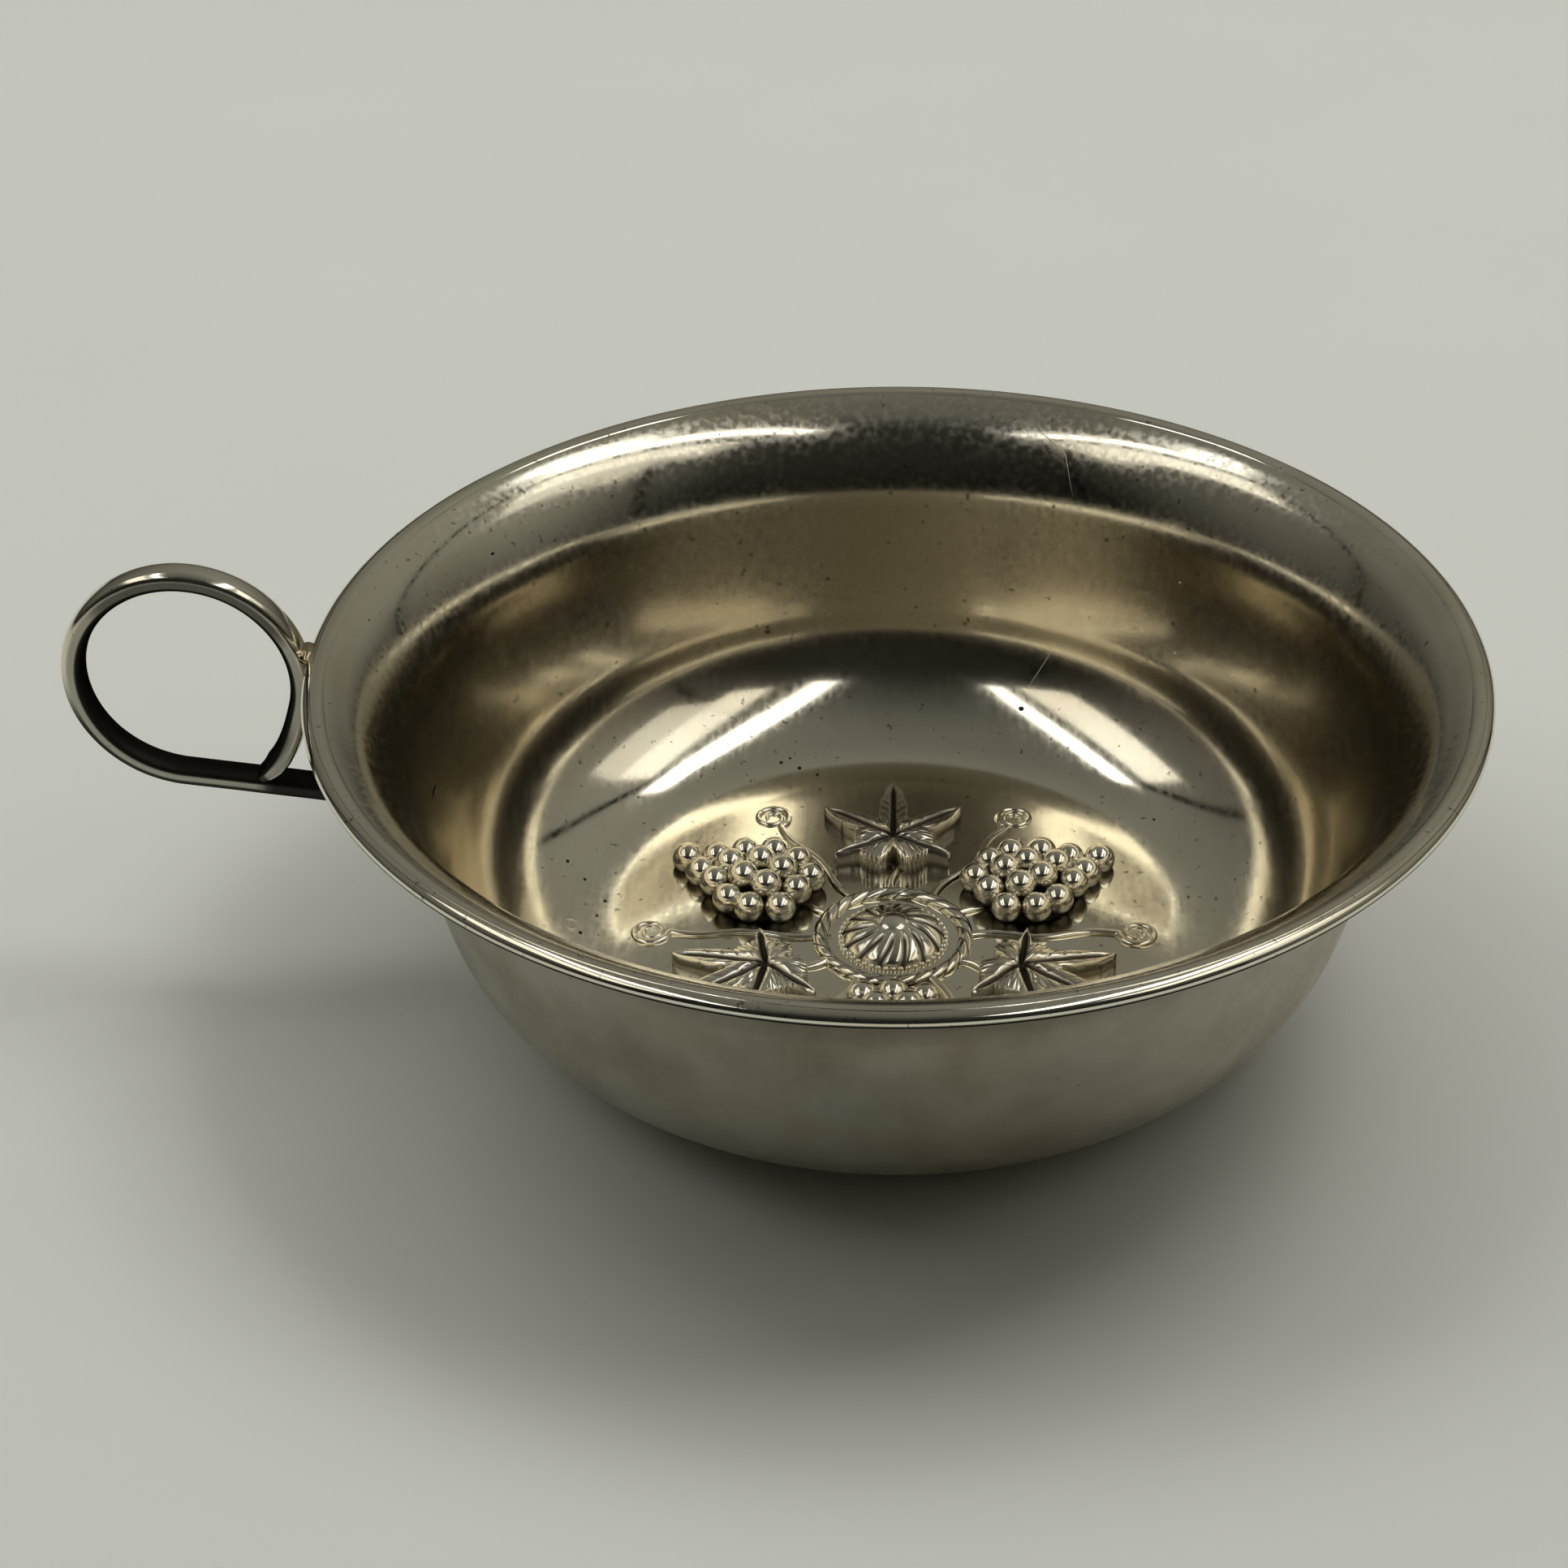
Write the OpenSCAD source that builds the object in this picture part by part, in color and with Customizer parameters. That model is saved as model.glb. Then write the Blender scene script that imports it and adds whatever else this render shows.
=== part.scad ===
// Tastevin: a shallow silver cup for tasting wine, with a flared lip, a finger ring bent from
// one strap, and a vine ornament applied to the floor.
// Millimetres, +Z up. The origin is the centre of the flat base. The handle points along -X.

/* [Bowl] */
// Diameter over the rim
rim_d = 105; // [92:1:130]
// Height of the rim above the base
bowl_h = 33.5; // [30:0.5:44]
// Outside radius of the curve between the base and the wall
heel_r = 16.5; // [12:0.5:18]
// Slope of the wall, in degrees from the horizontal
wall_slope = 76; // [70:1:86]
// Radius of the wide curve in which the wall starts to flare
flare_r = 16; // [10:0.5:22]
// Slope at which the wide curve passes into the lip, in degrees
flare_slope = 52; // [40:1:60]
// Radius of the tight curve under the lip
lip_r = 5; // [3:0.5:8]
// Slope that the lip still has where it meets the rim wire, in degrees
lip_slope = 3; // [0:1:15]
// Thickness of the silver sheet
sheet = 0.9; // [0.6:0.1:1.3]
// Thickness of the round wire along the rim
wire_d = 1.6; // [1.4:0.1:2.4]

/* [Handle] */
// Inside diameter of the finger ring
finger_d = 18.6; // [16:0.2:24]
// Width of the strap
strap_w = 3; // [2.4:0.2:6]
// Thickness of the strap
strap_t = 2.1; // [0.8:0.1:2.6]
// Depth of the ring's centre below the rim
ring_drop = 3.2; // [1:0.2:6]
// Fall of the straight strut towards the bowl, in degrees
strut_slope = 8; // [0:1:14]
// Angle of the ring's free end below its centre, on the bowl's side, in degrees
free_end = 58; // [30:1:60]
// Thickness of the solder film between the ring and the rim wire
solder_film = 0.15; // [0.1:0.05:0.3]
// Reach of the solder at the rim, from the middle of the film
rim_solder_r = 1.8; // [1.2:0.1:2.4]
// Reach of the solder at the wall, beyond each side of the strap
wall_solder_lap = 0.7; // [0.3:0.1:1.2]
// Height of the solder at the wall, along the strut
wall_solder_h = 0.9; // [0.4:0.1:1.6]

/* [Vine ornament] */
// Number of leaves, and of grape bunches between them
vine_count = 3; // [2:1:3]
// Diameter of the boss in the middle of the floor
boss_d = 10; // [7:0.5:12]
// Height of the boss
boss_h = 2.4; // [1.5:0.1:3.5]
// Gap between the boss and the stem around it
boss_gap = 1.2; // [0.6:0.1:2]
// Thickness of the stem that runs round the boss
stem_d = 1.5; // [1:0.1:2]
// Thickness of the stalks and tendrils
stalk_d = 0.9; // [0.6:0.1:1.4]
// Length of the stalk between the stem and a leaf
leaf_stalk = 3; // [2:0.2:4]
// Length of a leaf
leaf_len = 15.06; // [12:0.02:18]
// Length of the stalk between the stem and a bunch of grapes
bunch_stalk = 1.6; // [1:0.2:3]
// Height of a leaf at its crown
leaf_h = 2.2; // [1.6:0.1:3]
// Height of a leaf at its tip
leaf_edge = 0.7; // [0.4:0.1:1.2]
// Width and depth of the grooved veins
vein = 0.35; // [0.2:0.05:0.5]
// Diameter of a grape
grape_d = 3.1; // [2.6:0.1:3.6]
// Rise of the grapes in the middle of a bunch above those at its edge
bunch_crown = 1.6; // [0.8:0.1:2]
// Lap of neighbouring grapes, where they run together
grape_lap = 0.2; // [0.1:0.05:0.4]
// Radius of the curl at the end of a tendril
curl_r = 1.9; // [1.4:0.1:2.4]
// Gap between the ornament and the edge of the flat floor
ornament_gap = 0.4; // [0.2:0.1:1.5]

/* [Hidden] */
$fn = 96;
silver = [0.74, 0.72, 0.66];
polished = [0.8, 0.77, 0.68];
solder_grey = [0.55, 0.5, 0.42];

// Profile of the bowl: x is the distance from the axis and y the height
rim_r = rim_d / 2;
wire_r = wire_d / 2;
wire_c = [rim_r - wire_r, bowl_h - wire_r];
lip_c = wire_c + (lip_r + sheet / 2) * [sin(lip_slope), -cos(lip_slope)];
flare_c = lip_c + (flare_r - lip_r) * [sin(flare_slope), -cos(flare_slope)];
wall_normal = [sin(wall_slope), -cos(wall_slope)];
wall_along = [cos(wall_slope), sin(wall_slope)];
flare_start = flare_c - flare_r * wall_normal;
wall_len = (flare_start[1] - heel_r * (1 - cos(wall_slope))) / sin(wall_slope);
heel_end = flare_start - wall_len * wall_along;
heel_c = heel_end - heel_r * wall_normal;
base_r = heel_c[0];
// Turn of the straight wall, inwards at its foot and outwards at its head, so that it crosses both curves
wall_turn = 0.002;
// Amount by which the lip's curve stands past the wide one where they meet, so that the two cross
lip_step = 0.002;
// Angle by which a slice of a curve runs on into the shape that it joins
slice_lap = 10;

// Handle, in the plane through the axis
ring_ri = finger_d / 2;
ring_ro = ring_ri + strap_t;
ring_z = bowl_h - ring_drop;
ring_to_wire = ring_ro + wire_r + solder_film;
ring_x = -wire_c[0] - sqrt(ring_to_wire ^ 2 - (wire_c[1] - ring_z) ^ 2);
ring_c = [ring_x, ring_z];
wire_left = [-wire_c[0], wire_c[1]];
to_ring = (ring_c - wire_left) / norm(ring_c - wire_left);
rim_solder_c = wire_left + (wire_r + solder_film / 2) * to_ring;
strut_along = [cos(strut_slope), -sin(strut_slope)];
strut_normal = [-sin(strut_slope), -cos(strut_slope)];
strut_len = (-base_r - ring_x) / cos(strut_slope);
// Rise of the strut into the ring, so that its faces cross the ring's curves
strut_rise = 0.002;

// Vine ornament on the floor. Its plan is fitted to the floor, and its thicknesses stay as given.
ornament_r = base_r - ornament_gap;
vine_fit = (ornament_r - stem_d) / (boss_d / 2 + boss_gap + leaf_stalk + leaf_len);
boss_r = vine_fit * boss_d / 2;
stem_ring_r = boss_r + vine_fit * boss_gap + stem_d / 2;
stem_outer_r = stem_ring_r + stem_d / 2;
vine_step = 360 / vine_count;
first_leaf = 90;

// Leaf, from its foot at the end of the stalk
leaf_r = stem_outer_r + vine_fit * leaf_stalk;
leaf_reach = vine_fit * leaf_len;
leaf_crown_part = 0.45;
leaf_crown_x = leaf_crown_part * leaf_reach;
leaf_fall = leaf_h - leaf_edge;
leaf_dome_r = ((leaf_reach - leaf_crown_x) ^ 2 + leaf_fall ^ 2) / (2 * leaf_fall);
// Lobes of a leaf: direction in degrees, length as a part of the leaf's, breadth as a part of its own length
leaf_lobes = [[0, 1, 0.42], [50, 0.8, 0.42], [-50, 0.8, 0.42], [104, 0.35, 0.6], [-104, 0.35, 0.6]];
// Disc that the lobes grow from, and the length of a vein as a part of its lobe's
blade_part = 0.28;
blade_r = blade_part * leaf_reach;
blade_x = 0.8 * blade_r;
vein_part = 0.85;

// Bunch of grapes: rows across its axis, most crowned a third of the way along it
grape_r = vine_fit * grape_d / 2;
grape_pitch = vine_fit * (grape_d - grape_lap);
row_pitch = grape_pitch * sin(60);
bunch_r = stem_outer_r + vine_fit * bunch_stalk + grape_r;
bunch_rows = 1 + floor((ornament_r - grape_r - bunch_r) / row_pitch);
most_in_row = 4;
bunch_half = most_in_row / 2 * grape_pitch;
crown_x = bunch_r + row_pitch * (bunch_rows - 1) / 3;
crown_rise = vine_fit * bunch_crown;
// Part of a grape's radius that is sunk in the floor, and part of the bunch's half width that the core fills
sunk_part = 0.4;
core_part = 0.8;
core_r = ((core_part * bunch_half) ^ 2 + crown_rise ^ 2) / (2 * crown_rise);

// Tendrils, beside each bunch, and the angles of the curl at their ends
tendril_angle = 0.235 * vine_step;
curl_bend = vine_fit * curl_r;
curl_x = ornament_r - curl_bend - stalk_d / 2;
curl_angle = 290;
curl_start_angle = 170;

function spread(count, pitch) = [for (i = [0:count - 1]) (i - (count - 1) / 2) * pitch];
function grapes_in_row(row) = max(1, min(most_in_row, row + 3, bunch_rows - row));

// Slice of a disc between two angles less than 180 degrees apart
module pie(centre, radius, from, to) {
    reach = 3 * radius;
    middle = (from + to) / 2;
    translate(centre)
        intersection() {
            circle(radius);
            polygon([[0, 0], reach * [cos(from), sin(from)], reach * [cos(middle), sin(middle)],
                     reach * [cos(to), sin(to)]]);
        }
}

// Slice of a flat ring
module ring_sector(centre, r_in, r_out, from, to) {
    difference() {
        pie(centre, r_out, from, to);
        translate(centre) circle(r_in);
    }
}

// Outline of everything inside the bowl's outer surface, moved out by a given amount.
// It ends past the middle of the rim wire by an overrun given as [outwards, upwards].
module filled_profile(grow, overrun) {
    wall_foot = heel_end + (grow - wall_turn) * wall_normal;
    wall_head = flare_start + (grow + wall_turn) * wall_normal;
    end = wire_c + overrun;
    difference() {
        union() {
            translate([0, -grow]) square([base_r, heel_r + grow]);
            pie(heel_c, heel_r + grow, -90 - slice_lap, wall_slope - 90 + slice_lap);
            polygon([[0, heel_r / 2], heel_c, wall_foot, wall_head, [end[0], wall_head[1]], end,
                     [0, end[1]]]);
        }
        pie(flare_c, flare_r - grow, flare_slope + 90, wall_slope + 90 + slice_lap);
        translate(lip_c) circle(lip_r - grow + lip_step);
    }
}

module filled_bowl(grow = 0) {
    rotate_extrude() filled_profile(grow, [0, sheet]);
}

module rim_torus() {
    rotate_extrude() translate(wire_c) circle(wire_r);
}

// Turns a drawing in the plane through the axis upright, with a thickness across it
module upright(width) {
    rotate([90, 0, 0]) linear_extrude(width, center = true) children();
}

// Band from the ring's centre line down past the strut's underside, along the strut
module strut_band(depth) {
    bottom = ring_c + depth * strut_normal;
    along = strut_len * strut_along;
    polygon([ring_c, bottom, bottom + along, ring_c + along]);
}

// Outline of the strap: strut, ring and free end in one piece
module strap_outline() {
    difference() {
        union() {
            translate(ring_c) circle(ring_ro);
            strut_band(ring_ro - strut_rise);
        }
        translate(ring_c) circle(ring_ri);
        strut_band(ring_ri - strut_rise);
    }
    ring_sector(ring_c, ring_ri, ring_ro, -free_end, slice_lap);
}

module strap() {
    difference() {
        upright(strap_w) strap_outline();
        filled_bowl();
    }
}

// One copy of a drawing for each leaf or bunch, turned about the axis
module round_the_boss(first) {
    for (i = [0:vine_count - 1])
        rotate(first + i * vine_step) children();
}

// Straight half-round stalk on the floor, between two distances from the axis
module stalk(from, to) {
    translate([from, 0, sheet])
        rotate([0, 90, 0])
            intersection() {
                cylinder(h = to - from, d = stalk_d);
                translate([-stalk_d, -stalk_d, 0]) cube([stalk_d, 2 * stalk_d, to - from]);
            }
}

// Half-round wire on the floor, bent round the axis
module floor_hoop(radius, thickness, turn = 360) {
    translate([0, 0, sheet])
        rotate_extrude(angle = turn)
            translate([radius, 0])
                intersection() {
                    circle(d = thickness);
                    translate([-thickness, 0]) square([2 * thickness, thickness]);
                }
}

module tendril(side) {
    rotate(side * tendril_angle) {
        stalk(stem_ring_r, curl_x - curl_bend);
        translate([curl_x, 0, 0])
            mirror([0, side > 0 ? 0 : 1, 0])
                rotate(curl_start_angle) floor_hoop(curl_bend, stalk_d, curl_angle);
    }
}

// Pointed lobe between two arcs, from the origin along x
module lobe(length, breadth) {
    half = length / 2;
    rise = breadth * half;
    arc_r = (half ^ 2 + rise ^ 2) / (2 * rise);
    intersection() {
        translate([half, rise - arc_r]) circle(arc_r);
        translate([half, arc_r - rise]) circle(arc_r);
    }
}

module leaf_dome(sink = 0) {
    translate([leaf_crown_x, 0, sheet + leaf_h - leaf_dome_r]) sphere(leaf_dome_r - sink);
}

module leaf() {
    difference() {
        intersection() {
            translate([0, 0, sheet])
                linear_extrude(2 * leaf_h) {
                    translate([blade_x, 0]) circle(blade_r);
                    for (shape = leaf_lobes)
                        rotate(shape[0]) lobe(shape[1] * leaf_reach, shape[2]);
                }
            leaf_dome();
        }
        difference() {
            for (shape = leaf_lobes)
                rotate(shape[0])
                    translate([0, -vein / 2, sheet])
                        cube([vein_part * shape[1] * leaf_reach, vein, 2 * leaf_h]);
            leaf_dome(vein);
        }
    }
}

function grape_lift(x, y) =
    crown_rise * max(0, 1 - ((x - crown_x) ^ 2 + y ^ 2) / bunch_half ^ 2);

module grape_row(x, count) {
    for (y = spread(count, grape_pitch))
        translate([x, y, sheet + (1 - sunk_part) * grape_r + grape_lift(x, y)]) sphere(grape_r);
}

// Grapes on a low crowned core, cut off flat at the floor
module bunch() {
    difference() {
        union() {
            for (row = [0:bunch_rows - 1])
                grape_row(bunch_r + row * row_pitch, grapes_in_row(row));
            translate([crown_x, 0, sheet + crown_rise - core_r]) sphere(core_r);
        }
        translate([0, 0, sheet - 2 * core_r]) cylinder(h = 2 * core_r, r = 2 * ornament_r);
    }
}

module bowl() {
    color(silver)
        difference() {
            rotate_extrude()
                difference() {
                    filled_profile(0, [0, sheet]);
                    filled_profile(-sheet, [wire_d, 2 * sheet]);
                }
            rim_torus();
        }
}

module rim_wire() {
    color(silver) rim_torus();
}

module handle_strap() {
    color(silver) strap();
}

module rim_solder() {
    color(solder_grey) upright(strap_w)
        difference() {
            translate(rim_solder_c) circle(rim_solder_r);
            translate(ring_c) circle(ring_ro);
            translate(wire_left) circle(wire_r);
            translate(wire_left - [0, 2 * rim_solder_r]) square(4 * rim_solder_r);
        }
}

module wall_solder() {
    color(solder_grey)
        difference() {
            intersection() {
                upright(strap_w + 2 * wall_solder_lap)
                    difference() {
                        strut_band(ring_ro + wall_solder_lap);
                        strut_band(ring_ri - wall_solder_lap);
                    }
                filled_bowl(wall_solder_h);
            }
            strap();
            filled_bowl();
        }
}

module centre_boss() {
    dome_r = (boss_r ^ 2 + boss_h ^ 2) / (2 * boss_h);
    color(polished)
        translate([0, 0, sheet])
            intersection() {
                translate([0, 0, boss_h - dome_r]) sphere(dome_r);
                cylinder(h = 2 * boss_h, r = 2 * boss_r);
            }
}

module vine_stem() {
    color(polished) {
        floor_hoop(stem_ring_r, stem_d);
        round_the_boss(first_leaf) stalk(stem_ring_r, leaf_r);
        round_the_boss(first_leaf + vine_step / 2) {
            stalk(stem_ring_r, bunch_r);
            tendril(1);
            tendril(-1);
        }
    }
}

module vine_leaves() {
    color(polished)
        round_the_boss(first_leaf)
            difference() {
                translate([leaf_r, 0, 0]) leaf();
                stalk(stem_ring_r, leaf_r);
            }
}

module grape_bunches() {
    color(polished)
        round_the_boss(first_leaf + vine_step / 2)
            difference() {
                bunch();
                stalk(stem_ring_r, bunch_r);
            }
}

bowl();
rim_wire();
handle_strap();
rim_solder();
wall_solder();
centre_boss();
vine_stem();
vine_leaves();
grape_bunches();
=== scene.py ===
"""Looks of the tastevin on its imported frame. Metres, +Z up, the finger ring points along -X."""

import math
import random

import bpy
import numpy as np
from mathutils import Matrix, Vector, noise


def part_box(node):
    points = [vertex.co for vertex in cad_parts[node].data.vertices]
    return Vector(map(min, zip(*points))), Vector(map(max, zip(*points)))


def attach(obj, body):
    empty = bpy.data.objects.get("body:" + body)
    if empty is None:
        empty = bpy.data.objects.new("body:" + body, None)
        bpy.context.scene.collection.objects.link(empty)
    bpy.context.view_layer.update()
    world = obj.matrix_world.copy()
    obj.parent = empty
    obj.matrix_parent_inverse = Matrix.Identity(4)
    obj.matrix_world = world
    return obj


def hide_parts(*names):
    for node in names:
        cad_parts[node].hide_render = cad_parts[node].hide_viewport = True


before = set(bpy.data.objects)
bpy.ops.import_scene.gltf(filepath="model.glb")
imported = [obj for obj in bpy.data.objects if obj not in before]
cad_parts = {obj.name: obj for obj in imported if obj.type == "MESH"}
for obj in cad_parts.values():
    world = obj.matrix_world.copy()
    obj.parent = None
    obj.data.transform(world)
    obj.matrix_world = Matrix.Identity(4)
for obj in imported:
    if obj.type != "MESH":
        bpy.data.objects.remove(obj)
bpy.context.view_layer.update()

MM = 0.001
QUARTER = math.pi / 2

# Sizes from the frame
rim_low, rim_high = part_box("rim_wire")
strap_low, strap_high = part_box("handle_strap")
boss_low, boss_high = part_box("centre_boss")
RIM_R = rim_high.x
RIM_Z = rim_high.z
WIRE_R = (rim_high.z - rim_low.z) / 2
STRAP_W = strap_high.y - strap_low.y
SHEET = boss_low.z
BOSS_R = boss_high.x
BOSS_H = boss_high.z - boss_low.z

# Bowl and handle sizes that the boxes don't give
HEEL_R = 16.5 * MM
WALL_SLOPE = math.radians(76)
FLARE_R = 16.0 * MM
FLARE_SLOPE = math.radians(52)
LIP_R = 5.0 * MM
LIP_SLOPE = math.radians(3)
FINGER_R = 9.3 * MM
STRAP_T = 2.1 * MM
STRUT_SLOPE = math.radians(8)
FREE_END = math.radians(58)
# How far the ring's free end springs outwards, and to the strut's near side
END_OUT = 0.9 * MM
END_ASIDE = 1.4 * MM
SOLDER_FILM = 0.15 * MM
# Unevenness that hammer and file leave
HAND_WORK = 0.02 * MM

# Vine ornament
VINE_COUNT = 3
FIRST_LEAF = math.radians(90)
VINE_STEP = 2 * math.pi / VINE_COUNT
BOSS_GAP = 1.2 * MM
STEM_R = 0.75 * MM
STALK_R = 0.45 * MM
LEAF_STALK = 3.0 * MM
LEAF_LEN = 15.06 * MM
LEAF_H = 2.2 * MM
LEAF_EDGE = 0.7 * MM
BUNCH_STALK = 1.6 * MM
GRAPE_R = 1.55 * MM
GRAPE_PITCH = 2.9 * MM
BUNCH_CROWN = 1.6 * MM
BUNCH_ROWS = (3, 4, 4, 3, 2, 1)
CURL_R = 1.9 * MM

# Places worked out from those sizes. In a profile, x is the distance from the axis and y the height.
wire_c = np.array([RIM_R - WIRE_R, RIM_Z - WIRE_R])
lip_c = wire_c + (LIP_R + SHEET / 2) * np.array([math.sin(LIP_SLOPE), -math.cos(LIP_SLOPE)])
flare_c = lip_c + (FLARE_R - LIP_R) * np.array([math.sin(FLARE_SLOPE), -math.cos(FLARE_SLOPE)])
wall_normal = np.array([math.sin(WALL_SLOPE), -math.cos(WALL_SLOPE)])
wall_along = np.array([math.cos(WALL_SLOPE), math.sin(WALL_SLOPE)])
flare_start = flare_c - FLARE_R * wall_normal
wall_len = (flare_start[1] - HEEL_R * (1 - math.cos(WALL_SLOPE))) / math.sin(WALL_SLOPE)
heel_end = flare_start - wall_len * wall_along
heel_c = heel_end - HEEL_R * wall_normal
ring_z = strap_high.z - FINGER_R - STRAP_T
ring_to_wire = FINGER_R + STRAP_T + WIRE_R + SOLDER_FILM
ring_x = -wire_c[0] - math.sqrt(ring_to_wire ** 2 - (wire_c[1] - ring_z) ** 2)
stem_ring_r = BOSS_R + BOSS_GAP + STEM_R
leaf_r = stem_ring_r + STEM_R + LEAF_STALK
ornament_r = leaf_r + LEAF_LEN
bunch_r = stem_ring_r + STEM_R + BUNCH_STALK + GRAPE_R
row_pitch = GRAPE_PITCH * math.sin(math.radians(60))


# Shapes: points as an array, faces as lists, and the patina and shade of each point, from 0 on bright
# metal to 1 where patina fills a groove or painted shade covers a face

def shape(points, faces, patina_and_shade=None):
    points = np.asarray(points, float).reshape(-1, 3)
    if patina_and_shade is None:
        patina_and_shade = np.zeros(len(points))
    return {"points": points, "faces": faces, "patina_and_shade": np.asarray(patina_and_shade, float).ravel()}


def joined(shapes):
    faces, offset = [], 0
    for s in shapes:
        faces += [[i + offset for i in face] for face in s["faces"]]
        offset += len(s["points"])
    points = np.concatenate([s["points"] for s in shapes])
    return shape(points, faces, np.concatenate([s["patina_and_shade"] for s in shapes]))


def turned(s, angle):
    """Shape turned round the axis."""
    c, n = math.cos(angle), math.sin(angle)
    turn = np.array([[c, -n, 0], [n, c, 0], [0, 0, 1]])
    return shape(s["points"] @ turn.T, s["faces"], s["patina_and_shade"])


def round_angles(count):
    return np.linspace(0, 2 * math.pi, count, endpoint=False)


def on_circle(angles):
    return np.stack([np.cos(angles), np.sin(angles)], 1)


def circle_section(count):
    return on_circle(round_angles(count))


def polar(radius, angle, height):
    """Points at distances from the axis, at angles round it and at heights."""
    return np.stack(np.broadcast_arrays(radius * np.cos(angle), radius * np.sin(angle), height), -1)


def smooth_step(x):
    x = np.clip(x, 0, 1)
    return x * x * (3 - 2 * x)


def fade_below(film, value):
    """Level of (most, start, run): none where a value is over the start, and most at a run below it."""
    most, start, run = film
    return most * smooth_step((start - value) / run)


def grid_faces(rows, columns, round_rows=False):
    """Quads of a grid of points, row by row, closed round its columns, and round its rows if asked."""
    i = np.arange(rows if round_rows else rows - 1)[:, None]
    j = np.arange(columns)[None, :]
    i2, j2 = (i + 1) % rows, (j + 1) % columns
    corners = [row * columns + column for row, column in ((i, j), (i, j2), (i2, j2), (i2, j))]
    return np.stack(np.broadcast_arrays(*corners), -1).reshape(-1, 4).tolist()


def cap_faces(rows, columns):
    """Triangles that close the first and the final row of a grid, each to a point after the grid's."""
    first, last, final = rows * columns, rows * columns + 1, (rows - 1) * columns
    faces = []
    for j in range(columns):
        k = (j + 1) % columns
        faces += [[first, k, j], [last, final + j, final + k]]
    return faces


def revolved(profile, segments):
    """Closed solid of a profile that starts and ends on the axis."""
    middle = profile[1:-1]
    points = polar(middle[:, :1], round_angles(segments), middle[:, 1:]).reshape(-1, 3)
    poles = [[0, 0, profile[0][1]], [0, 0, profile[-1][1]]]
    faces = grid_faces(len(middle), segments) + cap_faces(len(middle), segments)
    return shape(np.concatenate([points, poles]), faces)


def tube(path, section, across, scale=None, closed=False, twist=None):
    """Section of (outward, across) points swept along a path. across is a fixed direction."""
    path = np.asarray(path, float)
    across = np.asarray(across, float)
    if closed:
        along = np.roll(path, -1, 0) - np.roll(path, 1, 0)
    else:
        along = np.gradient(path, axis=0)
    outward = np.cross(along, across)
    outward /= np.linalg.norm(outward, axis=1)[:, None]
    scale = np.ones((len(path), 2)) if scale is None else np.asarray(scale, float)
    if scale.ndim == 1:
        scale = np.stack([scale, scale], 1)
    rows = []
    for i, place in enumerate(path):
        out, side = section[:, 0], section[:, 1]
        if twist is not None:
            c, n = math.cos(twist[i]), math.sin(twist[i])
            out, side = c * out - n * side, n * out + c * side
        outwards = np.outer(out * scale[i, 0], outward[i])
        rows.append(place + outwards + np.outer(side * scale[i, 1], across))
    faces = grid_faces(len(path), len(section), round_rows=closed)
    points = np.concatenate(rows)
    if not closed:
        points = np.concatenate([points, [rows[0].mean(0), rows[-1].mean(0)]])
        faces += cap_faces(len(path), len(section))
    return shape(points, faces)


def ball(centre, radii, columns, rows):
    """Sphere or ellipsoid."""
    angles = np.linspace(0, math.pi, rows + 1)
    s = revolved(np.stack([np.sin(angles), np.cos(angles)], 1), columns)
    return shape(s["points"] * np.asarray(radii) + np.asarray(centre), s["faces"])


# How far each seed moves a shape in the field of noise
NOISE_SHIFT = (7.3, 3.1, 5.7)
# Keeps a normal of no length from being divided by nothing
TINY = 1e-30


def roughened(s, size, height, seed):
    """Points moved along their normals by noise of a size and a height, as hand work leaves them."""
    corners = np.array([face[:3] for face in s["faces"]])
    a, b, c = (s["points"][corners[:, k]] for k in range(3))
    normals = np.zeros_like(s["points"])
    for k in range(3):
        np.add.at(normals, corners[:, k], np.cross(b - a, c - a))
    normals /= np.maximum(np.linalg.norm(normals, axis=1), TINY)[:, None]
    shift = Vector([seed * step for step in NOISE_SHIFT])
    lift = np.array([noise.noise(Vector(p) / size + shift) for p in s["points"]])
    return shape(s["points"] + height * lift[:, None] * normals, s["faces"], s["patina_and_shade"])


def add_piece(name, s, materials, node, finish=None):
    """Mesh object for a shape, standing for a CAD node. finish gives each face's material by number."""
    mesh = bpy.data.meshes.new(name)
    mesh.from_pydata(s["points"].tolist(), [], s["faces"])
    mesh.polygons.foreach_set("use_smooth", [True] * len(mesh.polygons))
    patina_and_shade = mesh.attributes.new("patina_and_shade", "FLOAT", "POINT")
    patina_and_shade.data.foreach_set("value", s["patina_and_shade"].astype(np.float32))
    for material in materials:
        mesh.materials.append(material)
    if finish is not None:
        mesh.polygons.foreach_set("material_index", finish)
    mesh.validate()
    mesh.update()
    piece = bpy.data.objects.new(name, mesh)
    bpy.context.scene.collection.objects.link(piece)
    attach(piece, "root")
    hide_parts(node)


# Materials

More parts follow.
